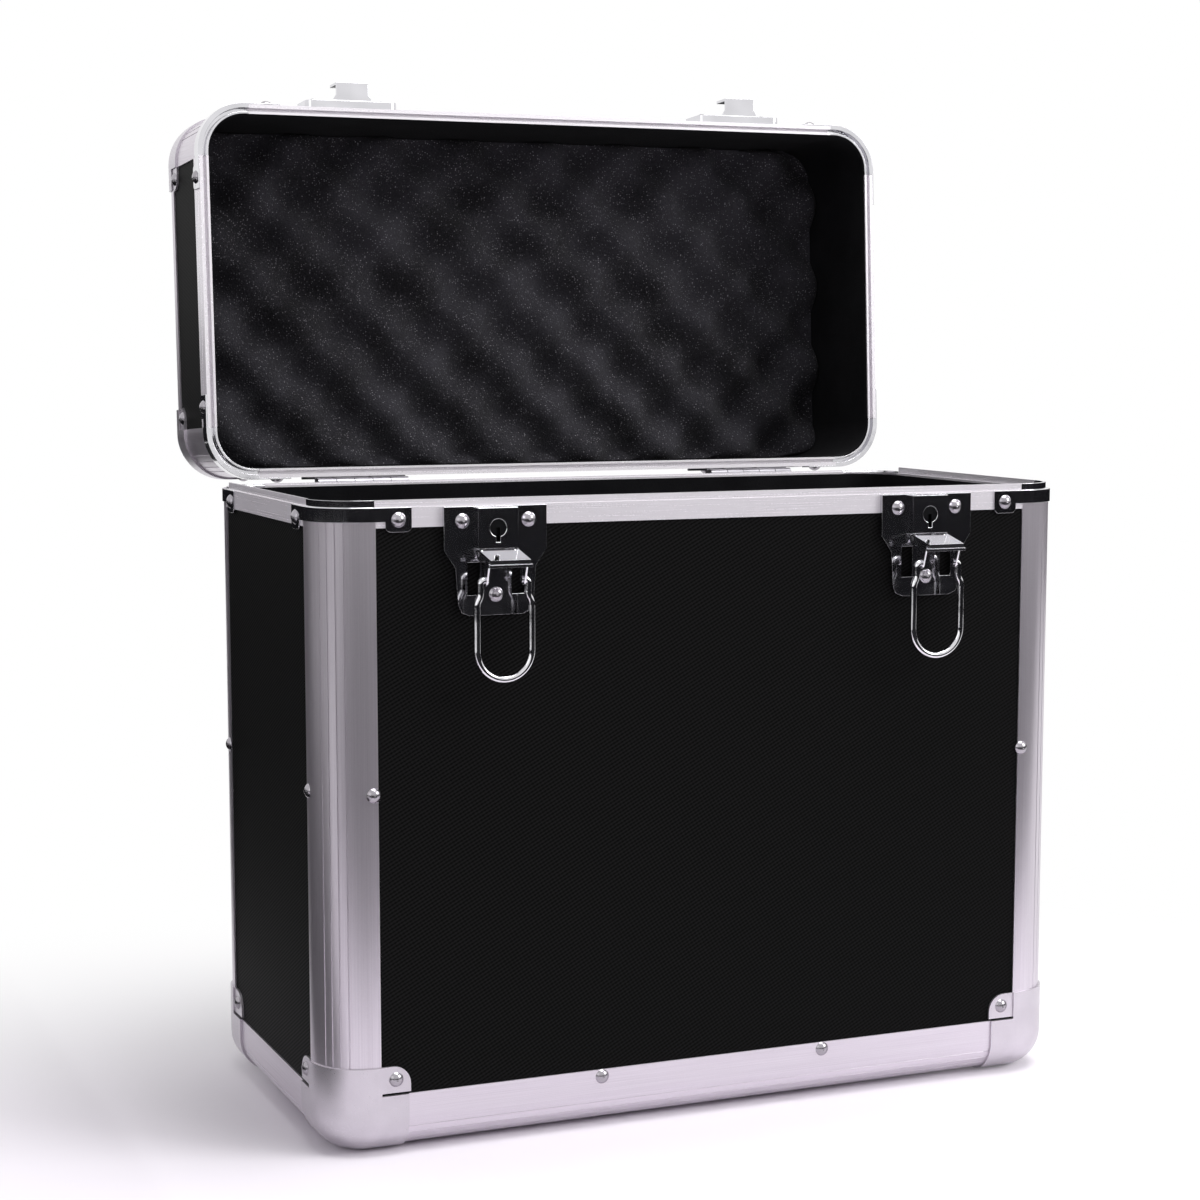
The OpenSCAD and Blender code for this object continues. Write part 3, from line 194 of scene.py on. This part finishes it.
across, along = 2600.0, 14.0
grains = {"upright": (across, across, along), "lengthwise": (along, across, across),
          "crosswise": (across, along, across)}
satin = {way: anodised_extrusion("satin_anodised_extrusion_" + way, stretch, "#cdc6cf", "#dcd6de")
         for way, stretch in grains.items()}
paint([cad[n] for n in cad if n.startswith("post_")], satin["upright"])
paint([cad[n] for n in ("edge_front", "edge_back", "lid_edge_front", "lid_edge_back")],
      satin["lengthwise"])
paint([cad[n] for n in ("edge_left", "edge_right", "lid_posts")], satin["crosswise"])
paint([cad[n] for n in ("lid_edge_left", "lid_edge_right")], satin["upright"])


# Rims. The tongue and groove rails round the mouth of the body and of the lid, less metallic than
# the satin profiles, with their colour painted nearly white: a painted highlight of the front light.
rim_painted_highlight = {way: anodised_extrusion("rim_with_painted_highlight_" + way, stretch, "#ece8ed", "#f6f3f7",
                                  metal=0.4, rough=0.26) for way, stretch in grains.items()}
paint([cad[n] for n in ("rim_front", "rim_back", "lid_rim_front", "lid_rim_back")],
      rim_painted_highlight["lengthwise"])
paint([cad[n] for n in ("rim_left", "rim_right")], rim_painted_highlight["crosswise"])
paint([cad[n] for n in ("lid_rim_left", "lid_rim_right")], rim_painted_highlight["upright"])


# Domed corner caps. Deep-drawn steel caps at the eight corners, satin nickel plated: smooth, paler
# than the profiles, with only a very fine haze over the plating.
def satin_nickel():
    material, tree = start_material("satin_nickel_plated_steel")
    place = add(tree, "ShaderNodeTexCoord")
    haze = add(tree, "ShaderNodeTexNoise", {
        "Vector": place.outputs["Object"], "Scale": 2200.0, "Detail": 2.0, "Roughness": 0.6})
    cloud = add(tree, "ShaderNodeTexNoise", {
        "Vector": place.outputs["Object"], "Scale": 60.0, "Detail": 2.0})
    colour = ramp(tree, cloud.outputs["Fac"], [(0.3, "#c6c1c8"), (0.7, "#cfcad1")])
    bump = add(tree, "ShaderNodeBump", {"Height": haze.outputs["Fac"], "Distance": 0.00003,
                                        "Strength": 0.4})
    gloss = add(tree, "ShaderNodeMapRange", {"Value": haze.outputs["Fac"], "From Min": 0.3,
                                             "From Max": 0.7, "To Min": 0.27, "To Max": 0.35})
    shader = add(tree, "ShaderNodeBsdfPrincipled", {
        "Base Color": colour.outputs["Color"], "Metallic": 0.85,
        "Roughness": gloss.outputs["Result"], "Normal": bump.outputs["Normal"]})
    add(tree, "ShaderNodeOutputMaterial", {"Surface": shader.outputs["BSDF"]})
    return material


paint([cad["corner_caps"], cad["lid_caps"]], satin_nickel())


# Bright steel parts. Rim corners, latch plates, lock boxes, levers, catches, hinges and handle
# brackets are pressed from sheet and bright nickel plated: a mirror that is never quite flat, with
# the small round that a press leaves along each edge.
def bright_nickel(name, low, high, rough, waviness=0.0002):
    material, tree = start_material(name)
    place = add(tree, "ShaderNodeTexCoord")
    swell = add(tree, "ShaderNodeTexNoise", {
        "Vector": place.outputs["Object"], "Scale": 75.0, "Detail": 1.0})
    rub = add(tree, "ShaderNodeTexNoise", {
        "Vector": place.outputs["Object"], "Scale": 1800.0, "Detail": 3.0})
    colour = ramp(tree, swell.outputs["Fac"], [(0.3, low), (0.7, high)])
    bump = add(tree, "ShaderNodeBump", {"Height": swell.outputs["Fac"], "Distance": waviness,
                                        "Strength": 0.5})
    gloss = add(tree, "ShaderNodeMapRange", {"Value": rub.outputs["Fac"], "From Min": 0.3,
                                             "From Max": 0.7, "To Min": rough - 0.03,
                                             "To Max": rough + 0.03})
    shader = add(tree, "ShaderNodeBsdfPrincipled", {
        "Base Color": colour.outputs["Color"], "Metallic": 1.0,
        "Roughness": gloss.outputs["Result"], "Normal": bump.outputs["Normal"]})
    add(tree, "ShaderNodeOutputMaterial", {"Surface": shader.outputs["BSDF"]})
    return material


def pressed_edges(name, round_mm):
    """A merged copy of the CAD piece with its sharp edges rounded, which takes its place."""
    weld_distance = 0.000002
    level_angle, edge_angle, smooth_angle = (math.radians(a) for a in (0.5, 40, 50))
    piece = bpy.data.objects.new(name + "_pressed", cad[name].data.copy())
    piece.data.name = piece.name
    bpy.context.scene.collection.objects.link(piece)
    bpy.ops.object.select_all(action="DESELECT")
    piece.select_set(True)
    bpy.context.view_layer.objects.active = piece
    bpy.ops.object.mode_set(mode="EDIT")
    bpy.ops.mesh.select_all(action="SELECT")
    bpy.ops.mesh.remove_doubles(threshold=weld_distance)
    bpy.ops.mesh.dissolve_limited(angle_limit=level_angle)
    bpy.ops.object.mode_set(mode="OBJECT")
    rounding = piece.modifiers.new("rounding", "BEVEL")
    rounding.width = round_mm / 1000
    rounding.segments = 2
    rounding.limit_method = "ANGLE"
    rounding.angle_limit = edge_angle
    bpy.ops.object.modifier_apply(modifier="rounding")
    bpy.ops.object.shade_smooth_by_angle(angle=smooth_angle)
    flats = piece.modifiers.new("flats", "WEIGHTED_NORMAL")
    flats.weight = 100
    flats.keep_sharp = True
    bpy.ops.object.modifier_apply(modifier="flats")
    body = next(b for b, nodes in frame["record"]["behaviour"]["bodies"].items() if name in nodes)
    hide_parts(name)
    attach(piece, body)
    return piece


bright_plate = bright_nickel("bright_nickel_plated_steel", "#d4d3d7", "#e0dfe3", 0.09,
                             waviness=0.0003)
press_round_mm = 0.35
pressed = [pressed_edges(n, press_round_mm) for n in (
    "rim_corners", "lid_rim_corners", "latch_plate_left", "latch_plate_right", "lock_box_left",
    "lock_box_right", "lever_left", "lever_right", "catch_left", "catch_right",
    "handle_brackets")]
paint(pressed + [cad["bail_left"], cad["bail_right"]], bright_plate)
# The hinge leaves are coloured darker than the other bright steel: painted shade, standing in for the shade in the
# gap between lid and body where they show.
paint([cad["hinge_leaves_body"], cad["hinge_leaves_lid"]],
      bright_nickel("hinge_steel_with_painted_shade", "#7d7b80", "#8d8b90", 0.3))


# Rivets, pins and lock cores. Aluminium rivets pressed to a dome, steel pins, and zinc lock cores
# coloured near black, darker than the plate round them: painted shade for the dark keyhole.
paint([cad["rivets_body"], cad["rivets_lid"]],
      bright_nickel("pressed_aluminium_rivet", "#9f9ba1", "#aaa6ac", 0.24, waviness=0.00001))
paint([cad["lever_pins"], cad["hinge_pins"]],
      bright_nickel("drawn_steel_pin", "#8f8d92", "#a8a6aa", 0.25))
paint([cad["lock_core_left"], cad["lock_core_right"]],
      bright_nickel("lock_core_in_painted_keyhole_shade", "#1c1c1e", "#2a2a2c", 0.38))


# Foam. A slab of open-cell foam cut on a wave cutter and glued into the lid: rounded waves in both
# directions, peak against hollow, charcoal grey, with pale specks in its colour: painted glints of cell walls.
foam_length, foam_depth, foam_corner = 0.3502, 0.1662, 0.0171
foam_mean, foam_wave = 0.012, 0.0075
wave_pitch = 0.0445
peak_x, peak_y = -0.0075, -0.0095
columns, rows = 176, 84
rim_height, rim_drop, rim_width = 0.0090, 0.0012, 0.004     # least height and round of its rim
skirt_height = 0.0025                                       # the side's upright part at most
base_inset, base_bend = 0.0105, 40                          # its base clears the lid's round edges
closed_top, roof_depth = 0.3516, 0.0046
foam_floor = closed_top - roof_depth
hinge_to_middle = 0.0922
hinge = next(j for j in frame["joints"] if j["name"] == "lid_hinge")
axis = Vector(hinge["pos_m"])
lid_middle_y = axis.y - hinge_to_middle


def swung_open(point):
    """A point of the closed lid, turned about the hinges to where the lid stands."""
    turn = Matrix.Rotation(math.radians(-hinge["range_deg"][1]), 3, "X")
    return axis + turn @ (point - axis)


bpy.ops.object.select_all(action="DESELECT")
bpy.ops.mesh.primitive_grid_add(x_subdivisions=columns, y_subdivisions=rows, size=2,
                                location=(0, 0, 0))
foam = bpy.context.object
foam.name = foam.data.name = "lid_foam_waves"
bpy.ops.object.mode_set(mode="EDIT")
bpy.ops.mesh.select_all(action="SELECT")
bpy.ops.mesh.flip_normals()
bpy.ops.mesh.select_all(action="DESELECT")
bpy.ops.mesh.select_non_manifold()
bpy.ops.mesh.extrude_region_move(TRANSFORM_OT_translate={"value": (0, 0, 1)})
bpy.ops.mesh.extrude_region_move(TRANSFORM_OT_translate={"value": (0, 0, 1)})
bpy.ops.mesh.edge_face_add()
bpy.ops.object.mode_set(mode="OBJECT")
for vertex in foam.data.vertices:
    u, v, layer = vertex.co
    y = v * foam_depth / 2
    over = abs(y) - (foam_depth / 2 - foam_corner)
    half = foam_length / 2
    if over > 0:
        half -= foam_corner - math.sqrt(max(0, foam_corner ** 2 - over ** 2))
    x = u * half
    edge = min(1 - abs(u), (1 - abs(v)) * 0.5) * half
    wave = math.cos(2 * math.pi * (x - peak_x) / wave_pitch) \
        * math.cos(2 * math.pi * (y - peak_y) / wave_pitch)
    height = foam_mean + foam_wave * wave
    if layer < 0.5:
        height -= rim_drop * max(0, 1 - edge / rim_width) ** 2
        height = max(height, rim_height - edge)
    elif layer < 1.5:
        height = max(rim_height, height - skirt_height)
    else:
        height = 0.0
        x -= math.copysign(base_inset * min(1, abs(u) ** base_bend), u)
        y -= math.copysign(base_inset * min(1, abs(v) ** base_bend), v)
    vertex.co = swung_open(Vector((x, y + lid_middle_y, foam_floor - height)))
bpy.ops.object.select_all(action="DESELECT")
foam.select_set(True)
bpy.context.view_layer.objects.active = foam
bpy.ops.object.shade_smooth_by_angle(angle=math.radians(55))


def charcoal_foam():
    material, tree = start_material("open_cell_polyurethane_foam")
    place = add(tree, "ShaderNodeTexCoord")
    cells = add(tree, "ShaderNodeTexVoronoi", {
        "Vector": place.outputs["Object"], "Scale": 900.0}, feature="F1")
    # Painted glints: pale specks mixed into the base colour near random cell centres.
    grains = add(tree, "ShaderNodeTexVoronoi", {
        "Vector": place.outputs["Object"], "Scale": 950.0}, feature="F1")
    near = add(tree, "ShaderNodeMapRange", {"Value": grains.outputs["Distance"],
                                            "From Min": 0.34, "From Max": 0.12})
    pick = add(tree, "ShaderNodeSeparateColor", {"Color": grains.outputs["Color"]})
    bright = add(tree, "ShaderNodeMapRange", {"Value": pick.outputs["Red"], "From Min": 0.4,
                                              "From Max": 1.3})
    painted_glint = add(tree, "ShaderNodeMath", {0: near.outputs["Result"],
                                         1: bright.outputs["Result"]}, operation="MULTIPLY")
    grain = add(tree, "ShaderNodeTexNoise", {
        "Vector": place.outputs["Object"], "Scale": 1300.0, "Detail": 2.0})
    cloud = add(tree, "ShaderNodeTexNoise", {
        "Vector": place.outputs["Object"], "Scale": 30.0, "Detail": 3.0})
    tone = add(tree, "ShaderNodeMath", {0: grain.outputs["Fac"], 1: 0.7,
                                        2: cloud.outputs["Fac"]}, operation="MULTIPLY_ADD")
    ground = ramp(tree, tone.outputs[0], [(0.6, "#18171a"), (1.1, "#343338")])
    colour = add(tree, "ShaderNodeMix", {
        0: painted_glint.outputs[0], "A": ground.outputs["Color"], "B": linear("#b9b6bd")},
        data_type="RGBA")
    bump = add(tree, "ShaderNodeBump", {"Height": cells.outputs["Distance"], "Distance": 0.0004,
                                        "Strength": 0.6})
    shader = add(tree, "ShaderNodeBsdfPrincipled", {
        "Base Color": colour.outputs["Result"], "Roughness": 0.9, "Specular IOR Level": 0.15,
        "Sheen Weight": 0.04, "Sheen Roughness": 0.6, "Normal": bump.outputs["Normal"]})
    add(tree, "ShaderNodeOutputMaterial", {"Surface": shader.outputs["BSDF"]})
    return material


paint([foam], charcoal_foam())
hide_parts("lid_foam")
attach(foam, "lid")


# Handle. A straight bar and two arms moulded in black ABS over steel, on two bright brackets: an
# even fine-grained surface like that of a tool's grip.
def moulded_abs():
    material, tree = start_material("black_moulded_abs")
    place = add(tree, "ShaderNodeTexCoord")
    grain = add(tree, "ShaderNodeTexVoronoi", {
        "Vector": place.outputs["Object"], "Scale": 1500.0}, feature="F1")
    colour = ramp(tree, grain.outputs["Distance"], [(0.0, "#1c1c1e"), (0.8, "#131314")])
    bump = add(tree, "ShaderNodeBump", {"Height": grain.outputs["Distance"],
                                        "Distance": 0.0001, "Strength": 0.5})
    shader = add(tree, "ShaderNodeBsdfPrincipled", {
        "Base Color": colour.outputs["Color"], "Roughness": 0.45,
        "Normal": bump.outputs["Normal"]})
    add(tree, "ShaderNodeOutputMaterial", {"Surface": shader.outputs["BSDF"]})
    return material


paint([cad["handle"]], moulded_abs())


# Studio. A near-white table that fades into a white background, soft light from above and from the
# right, and dark boards low round the case that glossy surfaces mirror and the camera doesn't see.
fade_middle = (-0.15, -0.45, 0)
fade_from, fade_to = 0.38, 0.80
ring_radius, ring_height = 2.2, 0.36
board_z = 0.004
lamp_target = Vector((0, 0, 0.2))
bpy.ops.object.select_all(action="DESELECT")
bpy.ops.mesh.primitive_plane_add(size=12, location=(0, 3, 0))
floor = bpy.context.object
floor.name = floor.data.name = "studio_floor"
bpy.ops.object.transform_apply(location=True, rotation=True, scale=True)
material, tree = start_material("near_white_table")
place = add(tree, "ShaderNodeTexCoord")
cloud = add(tree, "ShaderNodeTexNoise", {"Vector": place.outputs["Object"], "Scale": 3.0})
colour = ramp(tree, cloud.outputs["Fac"], [(0.0, "#f6f1f8"), (1.0, "#fbf7fc")])
shader = add(tree, "ShaderNodeBsdfPrincipled", {
    "Base Color": colour.outputs["Color"], "Roughness": 0.6, "Specular IOR Level": 0.2})
offset = add(tree, "ShaderNodeVectorMath", {0: place.outputs["Object"], 1: fade_middle},
             operation="DISTANCE")
fade = add(tree, "ShaderNodeMapRange", {"Value": offset.outputs["Value"], "From Min": fade_from,
                                        "From Max": fade_to}, interpolation_type="SMOOTHSTEP")


def seen_directly(tree):
    """1 for what the camera sees, or sees mirrored in metal or through glass."""
    ray = add(tree, "ShaderNodeLightPath")
    seen = add(tree, "ShaderNodeMath", {0: ray.outputs["Is Camera Ray"],
                                        1: ray.outputs["Is Glossy Ray"]}, operation="MAXIMUM")
    return add(tree, "ShaderNodeMath", {0: seen.outputs[0],
                                        1: ray.outputs["Is Transmission Ray"]},
               operation="MAXIMUM").outputs[0]


far = add(tree, "ShaderNodeMath", {0: fade.outputs["Result"], 1: seen_directly(tree)},
          operation="MULTIPLY")
white = add(tree, "ShaderNodeEmission", {"Color": (1, 1, 1, 1), "Strength": 1.0})
both = add(tree, "ShaderNodeMixShader", {0: far.outputs[0], 1: shader.outputs["BSDF"],
                                         2: white.outputs[0]})
add(tree, "ShaderNodeOutputMaterial", {"Surface": both.outputs[0]})
paint([floor], material)

card_material, tree = start_material("dark_card")
place = add(tree, "ShaderNodeTexCoord")
cloud = add(tree, "ShaderNodeTexNoise", {"Vector": place.outputs["Object"], "Scale": 5.0})
colour = ramp(tree, cloud.outputs["Fac"], [(0.3, "#101012"), (0.7, "#1c1c1f")])
shader = add(tree, "ShaderNodeBsdfPrincipled", {
    "Base Color": colour.outputs["Color"], "Roughness": 0.9, "Specular IOR Level": 0.1})
add(tree, "ShaderNodeOutputMaterial", {"Surface": shader.outputs["BSDF"]})
bpy.ops.object.select_all(action="DESELECT")
bpy.ops.mesh.primitive_cylinder_add(vertices=48, radius=ring_radius, depth=ring_height,
                                    end_fill_type="NOTHING", location=(0, 0, ring_height / 2))
ring = bpy.context.object
ring.name = ring.data.name = "ring_of_dark_boards"
boards = [ring]
for name, place, size in (("front_board", (0.5, -1.3), (3.4, 1.8)),
                          ("side_board", (-0.85, 0.9), (1.2, 2.2))):
    bpy.ops.object.select_all(action="DESELECT")
    bpy.ops.mesh.primitive_plane_add(size=1, location=(*place, board_z))
    boards.append(bpy.context.object)
    boards[-1].name = boards[-1].data.name = name
    boards[-1].scale = (*size, 1)
for card in boards:
    bpy.ops.object.select_all(action="DESELECT")
    card.select_set(True)
    bpy.context.view_layer.objects.active = card
    bpy.ops.object.transform_apply(location=True, rotation=True, scale=True)
    card.visible_camera = card.visible_diffuse = card.visible_shadow = False
    paint([card], card_material)

world = bpy.data.worlds.new("studio_white")
bpy.context.scene.world = world
world.use_nodes = True
tree = world.node_tree
tree.nodes.clear()
lit = add(tree, "ShaderNodeBackground", {"Color": linear("#f6f4f8"), "Strength": 0.45})
white = add(tree, "ShaderNodeBackground", {"Color": (1, 1, 1, 1), "Strength": 1.0})
both = add(tree, "ShaderNodeMixShader", {0: seen_directly(tree), 1: lit.outputs[0],
                                         2: white.outputs[0]})
add(tree, "ShaderNodeOutputWorld", {"Surface": both.outputs[0]})

for name, place, size, power in (("overhead_softbox", (0.3, -0.2, 1.9), 1.2, 30),
                                 ("right_softbox", (1.7, -1.3, 1.3), 1.0, 26),
                                 ("left_fill", (-1.8, -1.2, 1.0), 1.2, 3)):
    lamp = bpy.data.objects.new(name, bpy.data.lights.new(name, "AREA"))
    lamp.data.size = size
    lamp.data.energy = power
    lamp.location = place
    lamp.rotation_euler = (lamp_target - lamp.location).to_track_quat("-Z", "Y").to_euler()
    bpy.context.scene.collection.objects.link(lamp)

bpy.context.scene.view_settings.view_transform = "Standard"
